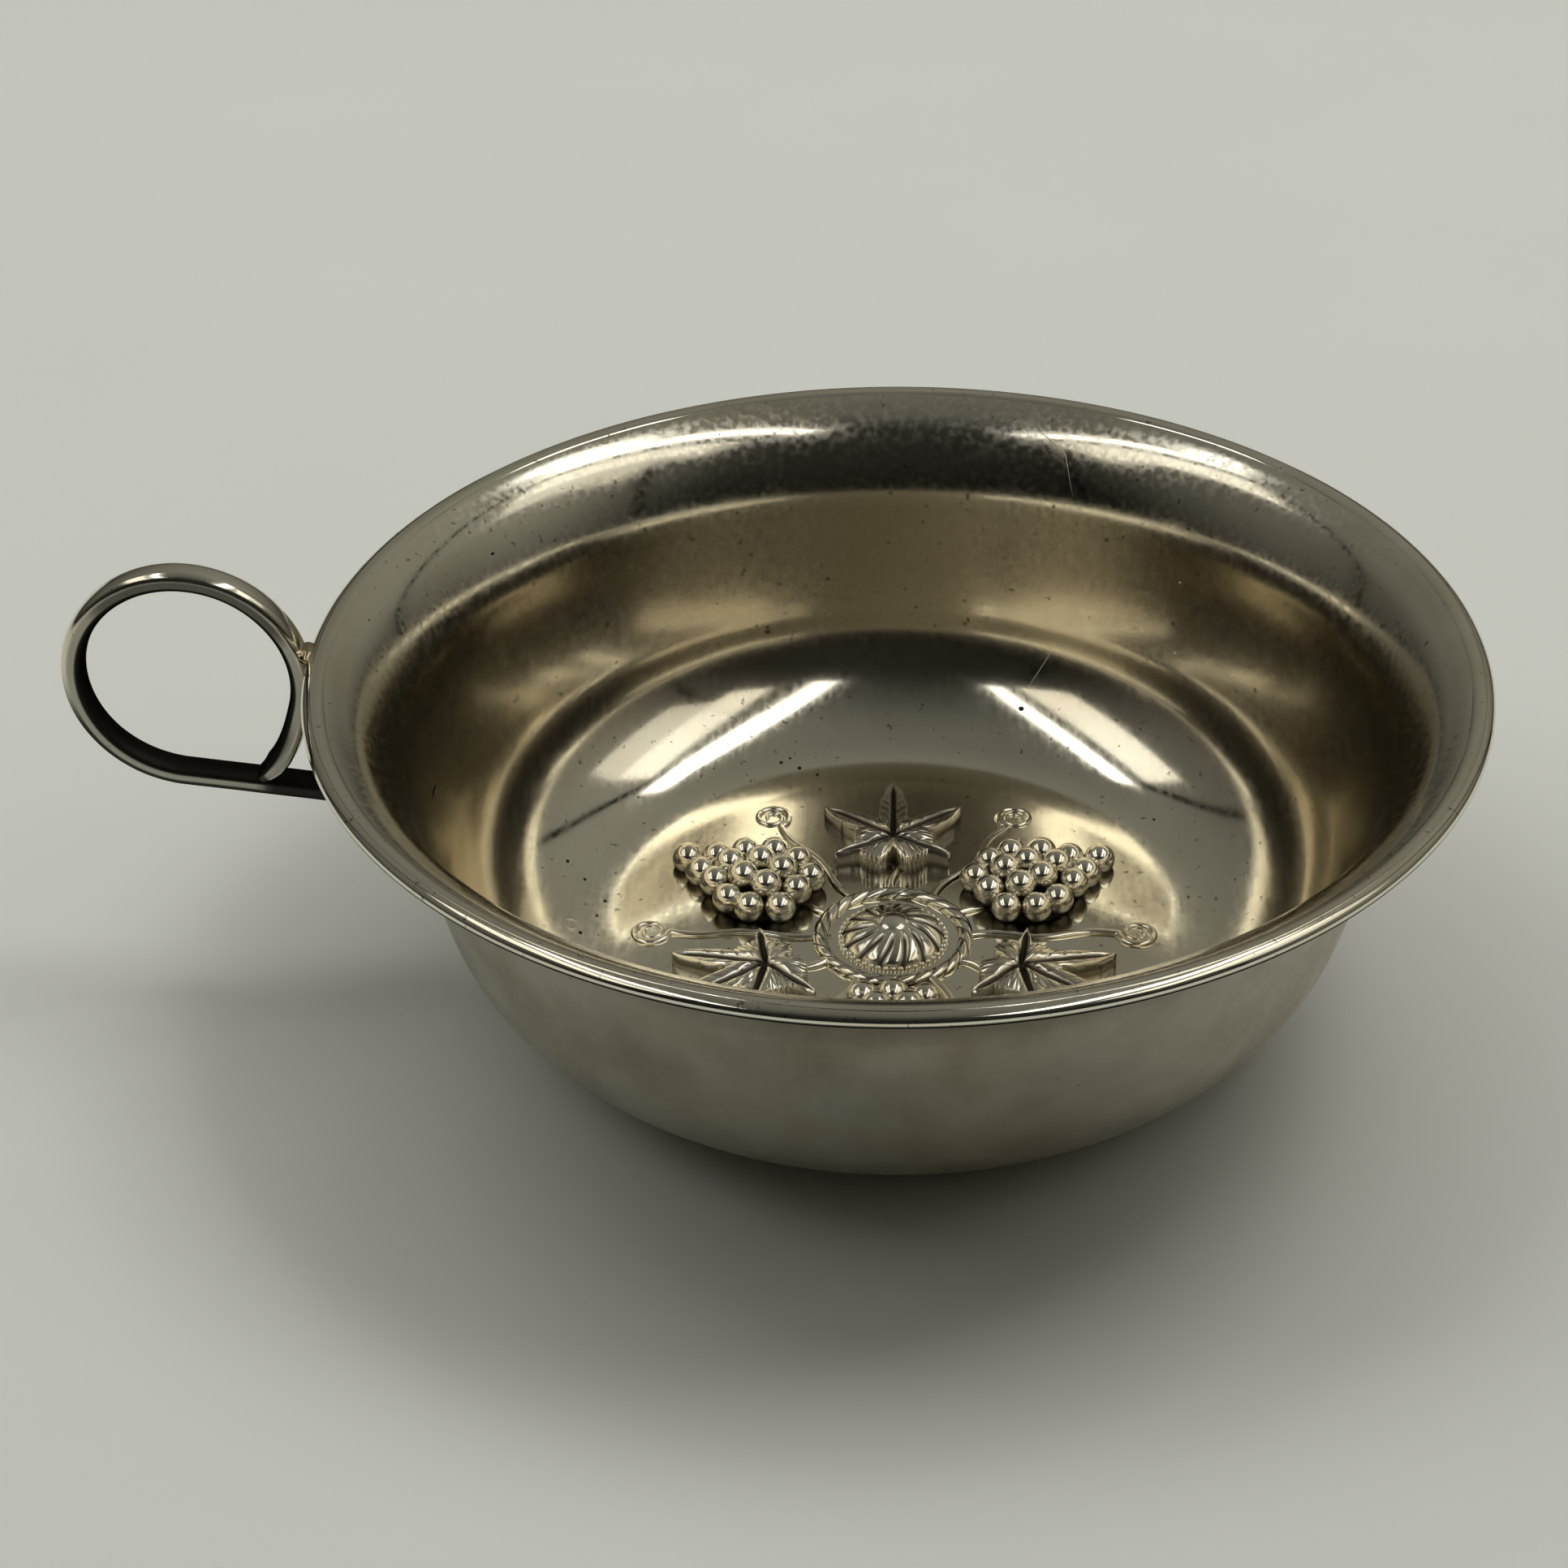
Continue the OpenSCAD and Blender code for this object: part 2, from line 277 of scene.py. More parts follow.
class Nodes:
    """Short calls for the nodes that are used here, in a node tree."""

    def __init__(self, tree):
        self.tree = tree

    def put(self, socket, value):
        """Link an output to a socket, or set a constant on it."""
        if isinstance(value, bpy.types.NodeSocket):
            self.tree.links.new(value, socket)
        elif socket.type == "RGBA":
            socket.default_value = (*value, 1)
        else:
            socket.default_value = value

    def add(self, kind, inputs=None, **settings):
        node = self.tree.nodes.new(kind)
        for key, value in settings.items():
            setattr(node, key, value)
        for key, value in (inputs or {}).items():
            self.put(node.inputs[key], value)
        return node

    def places(self, stretch=(1, 1, 1)):
        coordinates = self.add("ShaderNodeTexCoord").outputs["Object"]
        inputs = {"Vector": coordinates, "Scale": stretch}
        return self.add("ShaderNodeMapping", inputs).outputs["Vector"]

    def split(self, vector):
        return self.add("ShaderNodeSeparateXYZ", {"Vector": vector}).outputs

    def noise(self, size, detail, stretch=(1, 1, 1)):
        inputs = {"Vector": self.places(stretch), "Scale": 1 / size, "Detail": detail}
        return self.add("ShaderNodeTexNoise", inputs).outputs["Fac"]

    def ramp(self, value, stops):
        """Grey levels or colours at stops of a value."""
        node = self.add("ShaderNodeValToRGB", {"Fac": value})
        ramp = node.color_ramp
        while len(ramp.elements) < len(stops):
            ramp.elements.new(1)
        for element, (place, level) in zip(ramp.elements, stops):
            element.position = place
            element.color = (*level, 1) if isinstance(level, tuple) else (level, level, level, 1)
        return node.outputs["Color"]

    def spread(self, marks, low, high, stretch=(1, 1, 1)):
        """From low to high over marks of (size, detail, start, end): noise between start and end."""
        size, detail, start, end = marks
        return self.ramp(self.noise(size, detail, stretch), [(start, low), (end, high)])

    def mix(self, factor, first, second):
        """Mix of two colours or grey levels, by the sockets that this node has for colours."""
        node = self.add("ShaderNodeMix", {0: factor, 6: first, 7: second}, data_type="RGBA")
        return node.outputs[2]

    def bump(self, height, distance, strength, normal=None):
        inputs = {"Height": height, "Distance": distance, "Strength": strength}
        if normal is not None:
            inputs["Normal"] = normal
        return self.add("ShaderNodeBump", inputs).outputs["Normal"]

    def between(self, value, start, end, low=0.0, high=1.0, kind="SMOOTHSTEP"):
        """Level that goes from low to high as a value goes from start to end."""
        inputs = {"Value": value, "From Min": start, "From Max": end, "To Min": low, "To Max": high}
        return self.add("ShaderNodeMapRange", inputs, interpolation_type=kind).outputs["Result"]

    def math(self, operation, *values):
        inputs = dict(enumerate(values))
        return self.add("ShaderNodeMath", inputs, operation=operation).outputs["Value"]


def new_material(name):
    """New material, the calls for its nodes, and its shader's inputs."""
    material = bpy.data.materials.new(name)
    material.use_nodes = True
    tree = material.node_tree
    return material, Nodes(tree), tree.nodes["Principled BSDF"].inputs


SILVER = (0.87, 0.835, 0.71)
# Darker than the polished silver: partly the outside's duller tarnish, partly painted shade for the
# shaded floor in front that it mirrors
SATIN_AND_SHADE = (0.54, 0.507, 0.423)
TARNISH = (0.52, 0.43, 0.27)
SOLDER = (0.50, 0.41, 0.31)
OXIDE = (0.035, 0.028, 0.02)
# Near-black painted shade, laid on the strap, the rim bead's underside and the solder blobs' undersides
SHADE_BLACK = (0.006, 0.005, 0.005)
STAIN = (0.24, 0.20, 0.14)
WHITE = (1.0, 1.0, 1.0)
# Roughness where the patina and painted shade are full
DULL = (0.5, 0.5, 0.5)

# Marks in the silver: size, detail of the noise, and the levels of noise where a mark starts and is full
PATCHES = (14 * MM, 4, 0.42, 0.75)
STREAKS = (0.5 * MM, 5, 0.3, 0.75)
STREAK_STRETCH = (1, 0.12, 0.4)
MOTTLE = (0.7 * MM, 8, 0.40, 0.62)
FILM = (0.05 * MM, 1, 0.42, 0.60)
CLOUDS = (7 * MM, 9, 0.38, 0.78)
# Size and detail only, because each silver has its own levels for specks, and bumps need none
SPECKS = (0.8 * MM, 3)
GRAIN = (0.35 * MM, 4)
WAVE = (3 * MM, 3)
SPECK_MOST = 0.6
GRAIN_DEPTH = 0.004 * MM
WAVE_DEPTH = 0.02 * MM

# Inside of the bowl, by height as a part of the rim's: the wall is the brownest and has a dull film,
# and handling has worn the lip
BROWN_SHARE = [(0.10, 0.0), (0.30, 0.55), (0.70, 0.55), (0.80, 0.06)]
WORN_SHARE = [(0.70, 0.1), (0.90, 0.5)]
WORN_ROUGH = (0.10, 0.36)
FILM_SHARE = [(0.12, 0.0), (0.36, 0.4), (0.66, 0.4), (0.80, 0.1)]
FILM_ROUGH = (0.06, 0.45)


def silver(name, rough, base=SILVER, tarnish=0.5, patina_and_shade_colour=None, wave=0.0, grain=0.0, inside=False,
           specks=(0.67, 0.72), stain=0.0):
    """Silver with patchy tarnish, fine streaks and specks.

    rough: the brightest and the dullest spots. tarnish and stain: most of each, in patches and clouds.
    patina_and_shade_colour: colour of the patina in hollows and of the painted shade, laid on by each
    point's patina_and_shade. wave and grain: strengths of the bumps. inside: the browner and duller zones
    of the bowl's inside. specks: levels of noise where a dark speck starts and is full.
    """
    material, n, inputs = new_material(name)
    n.put(inputs["Metallic"], 1.0)
    colour = n.mix(n.spread(PATCHES, 0.0, tarnish), base, TARNISH)
    roughness = n.spread(STREAKS, *rough, STREAK_STRETCH)
    if inside:
        height = n.split(n.places([1 / RIM_Z] * 3))["Z"]
        colour = n.mix(n.ramp(height, BROWN_SHARE), colour, TARNISH)
        roughness = n.mix(n.ramp(height, WORN_SHARE), roughness, n.spread(MOTTLE, *WORN_ROUGH))
        roughness = n.mix(n.ramp(height, FILM_SHARE), roughness, n.spread(FILM, *FILM_ROUGH))
    if stain:
        colour = n.mix(n.spread(CLOUDS, 0.0, stain), colour, STAIN)
    colour = n.mix(n.spread((*SPECKS, *specks), 0.0, SPECK_MOST), colour, OXIDE)
    # Patina in hollows and painted shade darken the colour and its edge tint, and dull the roughness
    if patina_and_shade_colour:
        patina_and_shade_level = n.add("ShaderNodeAttribute", attribute_name="patina_and_shade").outputs["Fac"]
        colour = n.mix(patina_and_shade_level, colour, patina_and_shade_colour)
        roughness = n.mix(patina_and_shade_level, roughness, DULL)
        n.put(inputs["Specular Tint"], n.mix(patina_and_shade_level, WHITE, patina_and_shade_colour))
    n.put(inputs["Base Color"], colour)
    n.put(inputs["Roughness"], roughness)
    normal = n.bump(n.noise(*GRAIN), GRAIN_DEPTH, grain) if grain else None
    if wave:
        normal = n.bump(n.noise(*WAVE), WAVE_DEPTH, wave, normal)
    if normal is not None:
        n.put(inputs["Normal"], normal)
    return material


polished = silver("polished_silver", (0.06, 0.13), tarnish=0.3, wave=0.25, inside=True,
                  specks=(0.67, 0.73))
satin = silver("satin_silver", (0.32, 0.48), SATIN_AND_SHADE, tarnish=0.45, grain=0.5, specks=(0.73, 0.80),
               stain=0.5)
scratched = silver("scratched_silver", (0.35, 0.5), tarnish=0.1)
pitted = silver("pit_dirt", (0.4, 0.6), OXIDE, tarnish=0.2)
# The strap's dark parts are painted shade, with some tarnish on the ring's inner face
strap_silver = silver("strap_silver", (0.10, 0.18), tarnish=0.35, patina_and_shade_colour=SHADE_BLACK, specks=(0.70, 0.76))
# The rim bead's dark underside is painted shade
rim_silver = silver("rim_silver", (0.06, 0.13), tarnish=0.3, patina_and_shade_colour=SHADE_BLACK)
# Its dark is patina in the hollows, and painted shade under the grapes
ornament_silver = silver("ornament_silver", (0.10, 0.22), tarnish=0.55, patina_and_shade_colour=OXIDE)
# The solder blobs' dark undersides are painted shade
solder = silver("silver_solder", (0.18, 0.32), SOLDER, tarnish=1.0, grain=0.6, patina_and_shade_colour=SHADE_BLACK)


# Bowl: raised sheet with a lip that swells into the rim wire

BOWL_SEGMENTS = 320
# Rows of points on the floor, the heel, the wall and each of the two bends above it
FLAT_STEPS, HEEL_STEPS, WALL_STEPS, BEND_STEPS = 15, 30, 9, 22
# How many times as many rows the inside has
INSIDE_FINE = 2
# How much the sheet thickens up to the rim, and where the lip starts if this swell runs from 0 to 1
EDGE_SWELL = WIRE_R - SHEET / 2
LIP_START = -0.6
HAMMER_MARK = 9 * MM


def arc(centre, radius, start, end, count):
    """Points from one angle to another round a centre, at one radius or at one for each point."""
    radii = np.broadcast_to(radius, count)[:, None]
    return np.asarray(centre) + radii * on_circle(np.linspace(start, end, count))


def bowl_side(offset, swell, fine):
    """Profile of one face of the sheet, from the axis to the rim, moved inwards by an offset."""
    flat_steps, bend_steps = FLAT_STEPS * fine, BEND_STEPS * fine
    flat = np.stack([np.linspace(0, heel_c[0], flat_steps), np.full(flat_steps, offset)], 1)
    heel = arc(heel_c, HEEL_R - offset, -QUARTER, WALL_SLOPE - QUARTER, HEEL_STEPS * fine)
    flare_turn = FLARE_SLOPE + QUARTER
    flare = arc(flare_c, FLARE_R + offset, WALL_SLOPE + QUARTER, flare_turn, bend_steps)
    lip_radius = LIP_R + offset + swell * smooth_step(np.linspace(LIP_START, 1, bend_steps))
    lip = arc(lip_c, lip_radius, flare_turn, LIP_SLOPE + QUARTER, bend_steps)
    wall = heel[-1] + np.linspace(0, 1, WALL_STEPS * fine)[1:-1, None] * (flare[0] - heel[-1])
    return np.concatenate([flat, heel[1:], wall, flare[:-1], lip])


# Wear on the inside: angles round the axis in degrees with distances along the profile from the axis in
# millimetres. A pit and a dent also have their radius.
SCRATCHES = (((72, 67), (68, 65), (66, 61)), ((66, 44.3), (68.5, 40)))
PITS = ((68.7, 37.7, 0.3), (112, 31.2, 0.2), (109, 30, 0.22), (106, 28.6, 0.18), (110, 31.5, 0.15),
        (163, 33.8, 0.2), (165, 31.4, 0.18), (169, 28.6, 0.2), (174, 28.8, 0.16), (180, 30, 0.2),
        (148, 64, 0.2), (35, 32, 0.15))
DENTS = ((48.5, 55.5, 0.12), (46.8, 48.3, 0.12))
RING_MARK = (178.4, 31)
RING_MARK_R = 0.75 * MM
# Half widths of the lines
RING_MARK_LINE = 0.12 * MM
SCRATCH_LINE = 0.06 * MM
# Part of a scratch's taper that is cut off at each end, so that no end is a point
SCRATCH_END = 0.02
# Height of a pit or a dent as a part of its radius
SPOT_FLAT = 0.6


def inside_place(profile, angle, distance):
    """Points on the inside, at angles round the axis and at distances along the profile."""
    along = np.concatenate([[0], np.cumsum(np.linalg.norm(np.diff(profile, axis=0), axis=1))])
    radius = np.interp(distance, along, profile[:, 0])
    return polar(radius, angle, np.interp(distance, along, profile[:, 1]))


def scratch(profile, corners):
    angles = np.radians([c[0] for c in corners])
    distances = np.array([c[1] for c in corners]) * MM
    t = np.linspace(0, 1, 30)
    knots = np.linspace(0, 1, len(corners))
    path = inside_place(profile, np.interp(t, knots, angles), np.interp(t, knots, distances))
    taper = np.sqrt(np.sin(math.pi * (SCRATCH_END + (1 - 2 * SCRATCH_END) * t)))
    return tube(path, circle_section(8), (0, 0, 1), SCRATCH_LINE * taper)


def spot(profile, angle, distance, size):
    place = inside_place(profile, math.radians(angle), distance * MM)
    return ball(place, (size * MM, size * MM, SPOT_FLAT * size * MM), columns=14, rows=8)


def ring_mark(profile):
    u = round_angles(40)
    distance = RING_MARK[1] * MM
    angle = math.radians(RING_MARK[0]) + RING_MARK_R * np.cos(u) / distance
    path = inside_place(profile, angle, distance + RING_MARK_R * np.sin(u))
    return tube(path, circle_section(10), (0, 0, 1), np.full(len(u), RING_MARK_LINE), closed=True)


def bowl():
    inside = bowl_side(SHEET, EDGE_SWELL, INSIDE_FINE)
    outside = bowl_side(0, 0, 1)
    s = revolved(np.concatenate([inside, outside[::-1]]), BOWL_SEGMENTS)
    s = roughened(s, HAMMER_MARK, HAND_WORK / 2, seed=1)
    s["points"][:, 2] = np.maximum(s["points"][:, 2], 0)
    scratches = [scratch(inside, corners) for corners in SCRATCHES]
    dents = [spot(inside, *dent) for dent in DENTS]
    bright = joined([*scratches, *dents, ring_mark(inside)])
    dark = joined([spot(inside, *pit) for pit in PITS])
    materials = [polished, satin, scratched, pitted]
    in_polished, in_satin, in_scratched, in_pitted = range(len(materials))
    rows = [in_polished] * (len(inside) - 1) + [in_satin] * (len(outside) - 2)
    finish = np.concatenate([
        np.repeat(rows, BOWL_SEGMENTS),
        np.tile([in_polished, in_satin], BOWL_SEGMENTS),
        np.full(len(bright["faces"]), in_scratched),
        np.full(len(dark["faces"]), in_pitted),
    ])
    add_piece("bowl_sheet", joined([s, bright, dark]), materials, "bowl", finish)


# Rim bead: runs smoothly into the lip, with painted shade on its underside

# Half width of the bead, how far it stays inside the wire's own box, and the waves along it
BEAD_WIDE = 1.15 * MM
BEAD_CLEAR = 0.02 * MM
BEAD_WAVES = (23, 7)
# Painted shade by the height on the bead, from -1 to 1
BEAD_SHADE = (0.95, 0.02, 0.22)


def rim_wire():
    a = round_angles(BOWL_SEGMENTS)
    path = polar(RIM_R - BEAD_WIDE - BEAD_CLEAR, a, wire_c[1])
    high = WIRE_R - BEAD_CLEAR * (1 + np.sin(BEAD_WAVES[0] * a) * np.sin(BEAD_WAVES[1] * a))
    section = circle_section(36)
    s = tube(path, section, (0, 0, 1), np.stack([np.full(len(a), BEAD_WIDE), high], 1), closed=True)
    # Painted shade darkens the bead's underside
    s["patina_and_shade"] = np.tile(fade_below(BEAD_SHADE, section[:, 1]), len(a))
    add_piece("rim_bead", s, [rim_silver], "rim_wire")


# Handle: one oval strap with a bevelled tip

RING_STEPS = 150
STRUT_STEPS = 40
# Steps of the tip's bevel, and the tip's thickness and width as parts of the strap's
BEVEL_STEPS = 5
TIP_THICK = 0.6
TIP_WIDE = 0.9
# Powers that flatten the oval across and outwards
OVAL_ACROSS = 0.7
OVAL_OUT = 0.8
# Turn below the ring's bowl side, in radians, where its free end starts to spring, and the turn in which
# it springs
SPRING_FROM = 0.3
SPRING_RUN = 0.7
FILE_MARK = 5 * MM

# Painted shade on the strap, with some tarnish on its inner face that polishing misses, by how far a
# point lies outwards or across, from -1 to 1 of the half section
INNER_TARNISH_AND_SHADE = (0.97, -0.1, 0.35)
FLANK_SHADE = (0.48, 0.55, 0.4)
FAR_EDGE_SHADE = (0.6, -0.55, 0.3)
UPPER_SHADE = (0.82, 0.5, 0.35)
# Painted shade on the outer side, by how far a point lies inwards
UNDER_SHADE = (0.92, 0.05, 0.35)
# Turns of the ring, in radians, between which the upper painted shade lies and where the lower one
# starts, and the turns in which they grow
UPPER_FROM, UPPER_TO, UPPER_RUN = 0.1, 2.7, 0.5
UNDER_FROM, UNDER_RUN = 2.9, 0.7
# Painted shade on the strut under the bowl: most of it, where it starts from the ring's middle, and how
# far on it is full
STRUT_SHADE_MOST = 0.95
STRUT_SHADE_START = 4 * MM
STRUT_SHADE_RUN = 2.5 * MM


def strap_section():
    """Oval strip, a little flattened, and how far each of its points lies outwards and across."""
    a = round_angles(96)
    c, s = np.cos(a), np.sin(a)
    across = np.sign(c) * np.abs(c) ** OVAL_ACROSS
    out = np.sign(s) * np.abs(s) ** OVAL_OUT
    return np.stack([-out, -across], 1), out, across


def strap_tarnish_and_shade(path, turn, out, across):
    """Painted shade by the row and by the point of the section, with some tarnish on the inner face: most
    on the inner face and on the strut.
    """
    inside = np.maximum(fade_below(INNER_TARNISH_AND_SHADE, out), fade_below(FLANK_SHADE, out))
    all_along = np.maximum(inside, fade_below(FAR_EDGE_SHADE, across))
    strut_shade = STRUT_SHADE_MOST * smooth_step((path[:, 0] - ring_x - STRUT_SHADE_START) / STRUT_SHADE_RUN)
    strut_shade *= path[:, 2] < ring_z - FINGER_R
    under, upper = np.ones(len(path)), np.zeros(len(path))
    under[:len(turn)] = smooth_step((turn - UNDER_FROM) / UNDER_RUN)
    upper[:len(turn)] = smooth_step((turn - UPPER_FROM) / UPPER_RUN)
    upper[:len(turn)] *= smooth_step((UPPER_TO - turn) / UPPER_RUN)
    under = under[:, None] * fade_below(UNDER_SHADE, -out)
    upper = upper[:, None] * fade_below(UPPER_SHADE, out)
    return np.maximum(np.maximum(all_along, strut_shade[:, None]), np.maximum(under, upper))


def handle_strap():
    turn = np.linspace(-FREE_END, 3 * QUARTER - STRUT_SLOPE, RING_STEPS)
    spring = smooth_step((-turn - SPRING_FROM) / SPRING_RUN)
    bend = FINGER_R + STRAP_T / 2 + END_OUT * spring
    ring = np.array([ring_x, ring_z]) + bend[:, None] * on_circle(turn)
    along = np.array([math.cos(STRUT_SLOPE), -math.sin(STRUT_SLOPE)])
    reach = (-heel_end[0] - SHEET / 2 - ring[-1][0]) / along[0]
    strut = ring[-1] + np.linspace(0, reach, STRUT_STEPS)[1:, None] * along
    line = np.concatenate([ring, strut])
    path = np.stack([line[:, 0], np.zeros(len(line)), line[:, 1]], 1)
    path[:len(ring), 1] = -END_ASIDE * spring
    thick = np.full(len(line), STRAP_T / 2 - HAND_WORK)
    wide = np.full(len(line), STRAP_W / 2 - HAND_WORK)
    thick[:BEVEL_STEPS] *= np.linspace(TIP_THICK, 1, BEVEL_STEPS)
    wide[:BEVEL_STEPS] *= np.linspace(TIP_WIDE, 1, BEVEL_STEPS)
    section, out, across = strap_section()
    s = tube(path, section, (0, 1, 0), np.stack([thick, wide], 1))
    # Painted shade on the strap's flanks, edges, underside and strut, with some tarnish on its inner face
    tarnish = strap_tarnish_and_shade(path, turn, out, across)
    s["patina_and_shade"][:tarnish.size] = tarnish.ravel()
    s = roughened(s, FILE_MARK, HAND_WORK, seed=2)
    add_piece("finger_ring_strap", s, [strap_silver], "handle_strap")


# Solder: uneven blobs with painted shade on their undersides

# Sizes and heights of the lumps on a blob
LUMPS = ((1.2 * MM, 0.22 * MM), (0.4 * MM, 0.05 * MM))
# How far below a blob's middle it is all painted shade, as a part of the blob's half height
BLOB_SHADE = 0.4
RIM_BLOB = (0.75 * MM, 1.6 * MM, 0.75 * MM)
RIM_BLOB_LIFT = 0.2 * MM


def solder_blob(name, centre, radii, node, seed):
    s = ball(centre, radii, columns=40, rows=24)
    for i, (size, height) in enumerate(LUMPS):
        s = roughened(s, size, height, seed + i)
    # Painted shade darkens each blob's lower part
    s["patina_and_shade"] = smooth_step((centre[2] - s["points"][:, 2]) / (BLOB_SHADE * radii[2]))
    add_piece(name, s, [solder], node)


def rim_solder():
    to_ring = np.array([ring_x + wire_c[0], ring_z - wire_c[1]])
    to_ring /= np.linalg.norm(to_ring)
    x, z = np.array([-wire_c[0], wire_c[1]]) + (WIRE_R + SOLDER_FILM / 2) * to_ring
    solder_blob("rim_solder_blob", (x, 0, z + RIM_BLOB_LIFT), RIM_BLOB, "rim_solder", seed=3)


def wall_solder():
    low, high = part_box("wall_solder")
    centre = (low + high) / 2
    size = (high - low) / 2
    solder_blob("wall_solder_blob", centre, (size.x, size.y, size.z), "wall_solder", seed=5)


# Centre boss: fluted dome with a button on top and a ring of pearls. Lengths across it are parts of its
# radius, and heights are parts of its height.

FLUTES = 14
DOME_POWER = 1.15
# Turn of a flute from the middle to the edge, in radians, and the power that narrows it
FLUTE_TWIST = 0.5
FLUTE_POWER = 6
# Where a flute starts, how far on it has its depth, and how much of that it loses up to the edge
FLUTE_FROM = 0.3
FLUTE_RUN = 0.25
FLUTE_DEPTH = 0.16
FLUTE_LOSS = 0.5
BUTTON_R = 0.28
BUTTON_H = 0.12
# How far the dome's edge may dip below the floor
BOSS_SINK = 0.1 * MM
PEARLS = 44
PEARL_R = 0.34 * MM
PEARL_LIFT = 0.05 * MM


def half_ball(r):
    """Height of a half ball of radius 1, at distances from its middle."""
    return np.sqrt(np.maximum(0, 1 - r ** 2))


def centre_boss():
    rows, columns = 40, FLUTES * 16
    a = round_angles(columns)
    r = np.linspace(0, 1, rows)[:, None]
    groove = np.abs(np.cos(FLUTES / 2 * (a + FLUTE_TWIST * r))) ** FLUTE_POWER
    groove = groove * smooth_step((r - FLUTE_FROM) / FLUTE_RUN)
    height = BOSS_H * (half_ball(r) ** DOME_POWER - FLUTE_DEPTH * groove * (1 - FLUTE_LOSS * r))
    height = height * (1 - BUTTON_H) + half_ball(r / BUTTON_R) * BUTTON_H * BOSS_H
    points = polar(BOSS_R * r, a, SHEET + np.maximum(height, -BOSS_SINK))
    dish = shape(points, grid_faces(rows, columns), groove)
    places = polar(BOSS_R, round_angles(PEARLS), SHEET + PEARL_LIFT)
    pearls = [ball(place, [PEARL_R] * 3, columns=12, rows=8) for place in places]
    piece = joined([dish, *pearls])
    add_piece("boss_rosette", piece, [ornament_silver], "centre_boss")


# Vine stem: twisted ring with stalks to the leaves and bunches, and tendrils beside the bunches

STRANDS = 3
STEM_TWISTS = 8
# Grooves between the strands: depth as a part of the stem's radius, power that narrows them, and dirt by
# the radius
STRAND_DEPTH = 0.15
STRAND_POWER = 0.7
STRAND_DIRT = (1.0, 0.93, 0.08)
# Thickness at the start as a part of the stalk's, and how much of that is lost up to the end
STALK_START, STALK_LOSS = 1.15, 0.2
TENDRIL_START, TENDRIL_LOSS = 1.05, 0.6
# How far a leaf's stalk runs on under its leaf
STALK_UNDER = 1.5 * MM
LEAF_SWAY = 0.25 * MM
BUNCH_SWAY = 0.1 * MM
TENDRIL_SWAY = 0.35 * MM
# Place of a tendril beside its bunch as a part of the vine's step
TENDRIL_ASIDE = 0.235
# Half turns of the curl, how much of its radius it loses, and how much of that loss moves its middle
CURL_TURNS = 3.4
CURL_LOSS = 0.72
CURL_SHIFT = 0.15


def floor_wire(line, radii):
    """Half sunk wire on the floor along a line of (x, y) points."""
    path = np.concatenate([line, np.full((len(line), 1), SHEET)], 1)
    return tube(path, circle_section(16), (0, 0, 1), radii)


def stem_ring():
    """Ring of strands twisted together."""
    a, u = round_angles(240), round_angles(36)
    lobed = 1 - STRAND_DEPTH + STRAND_DEPTH * np.abs(np.cos(STRANDS / 2 * u)) ** STRAND_POWER
    section = STEM_R * lobed[:, None] * on_circle(u)
    s = tube(polar(stem_ring_r, a, SHEET), section, (0, 0, 1), closed=True, twist=STEM_TWISTS * a)
    s["patina_and_shade"] = np.tile(fade_below(STRAND_DIRT, lobed), len(a))
    return s


def stalk(end, sway):
    t = np.linspace(0, 1, 24)
    line = np.stack([stem_ring_r + t * (end - stem_ring_r), sway * np.sin(2 * math.pi * t)], 1)
    return floor_wire(line, STALK_R * (STALK_START - STALK_LOSS * t))


def tendril(side):
    """Wavy stalk that ends in a tightening curl."""
    curl_x = ornament_r - CURL_R - STALK_R
    t = np.linspace(0, 1, 40)
    reach = curl_x - CURL_R - stem_ring_r
    stem = np.stack([stem_ring_r + t * reach, TENDRIL_SWAY * np.sin(3 * math.pi * t)], 1)
    turn = np.linspace(0, 1, 90)
    radius = CURL_R * (1 - CURL_LOSS * turn)
    angle = math.pi - side * turn * CURL_TURNS * math.pi
    middle_x = curl_x - (CURL_R - radius) * CURL_SHIFT
    curl = np.stack([middle_x + radius * np.cos(angle), radius * np.sin(angle)], 1)
    line = np.concatenate([stem, curl[1:]])
    t = np.linspace(0, 1, len(line))
    wire = floor_wire(line, STALK_R * (TENDRIL_START - TENDRIL_LOSS * t))
    return turned(wire, side * TENDRIL_ASIDE * VINE_STEP)


def vine_stem():
    parts = [stem_ring()]
    for i in range(VINE_COUNT):
        leaf_angle = FIRST_LEAF + i * VINE_STEP
        bunch_angle = leaf_angle + VINE_STEP / 2
        parts.append(turned(stalk(leaf_r + STALK_UNDER, LEAF_SWAY), leaf_angle))
        parts.append(turned(stalk(bunch_r, BUNCH_SWAY), bunch_angle))
        for side in (1, -1):
            parts.append(turned(tendril(side), bunch_angle))
    add_piece("vine_stem_ring", joined(parts), [ornament_silver], "vine_stem")


# Vine leaves: lobed blades round the place where the veins meet

# Lobes: direction in degrees, length as a part of the leaf's, and half width in radians
LOBES = ((0, 0.80, 0.30), (47, 0.66, 0.28), (-47, 0.66, 0.28), (112, 0.42, 0.26), (-112, 0.42, 0.26))
lobe_turn, lobe_len, lobe_half = (np.array(column)[:, None] for column in zip(*LOBES))
# Half widths in which a lobe falls to nothing, and the share and power of its blunt and pointed forms
LOBE_SPREAD = 2.1
BLUNT_SHARE, BLUNT_POWER = 0.35, 0.5
POINT_SHARE, POINT_POWER = 0.65, 2.2
# Least reach of the blade, and the place where the veins meet, as parts of the leaf's length
LEAF_LEAST = 0.26
LEAF_HEART = 0.2
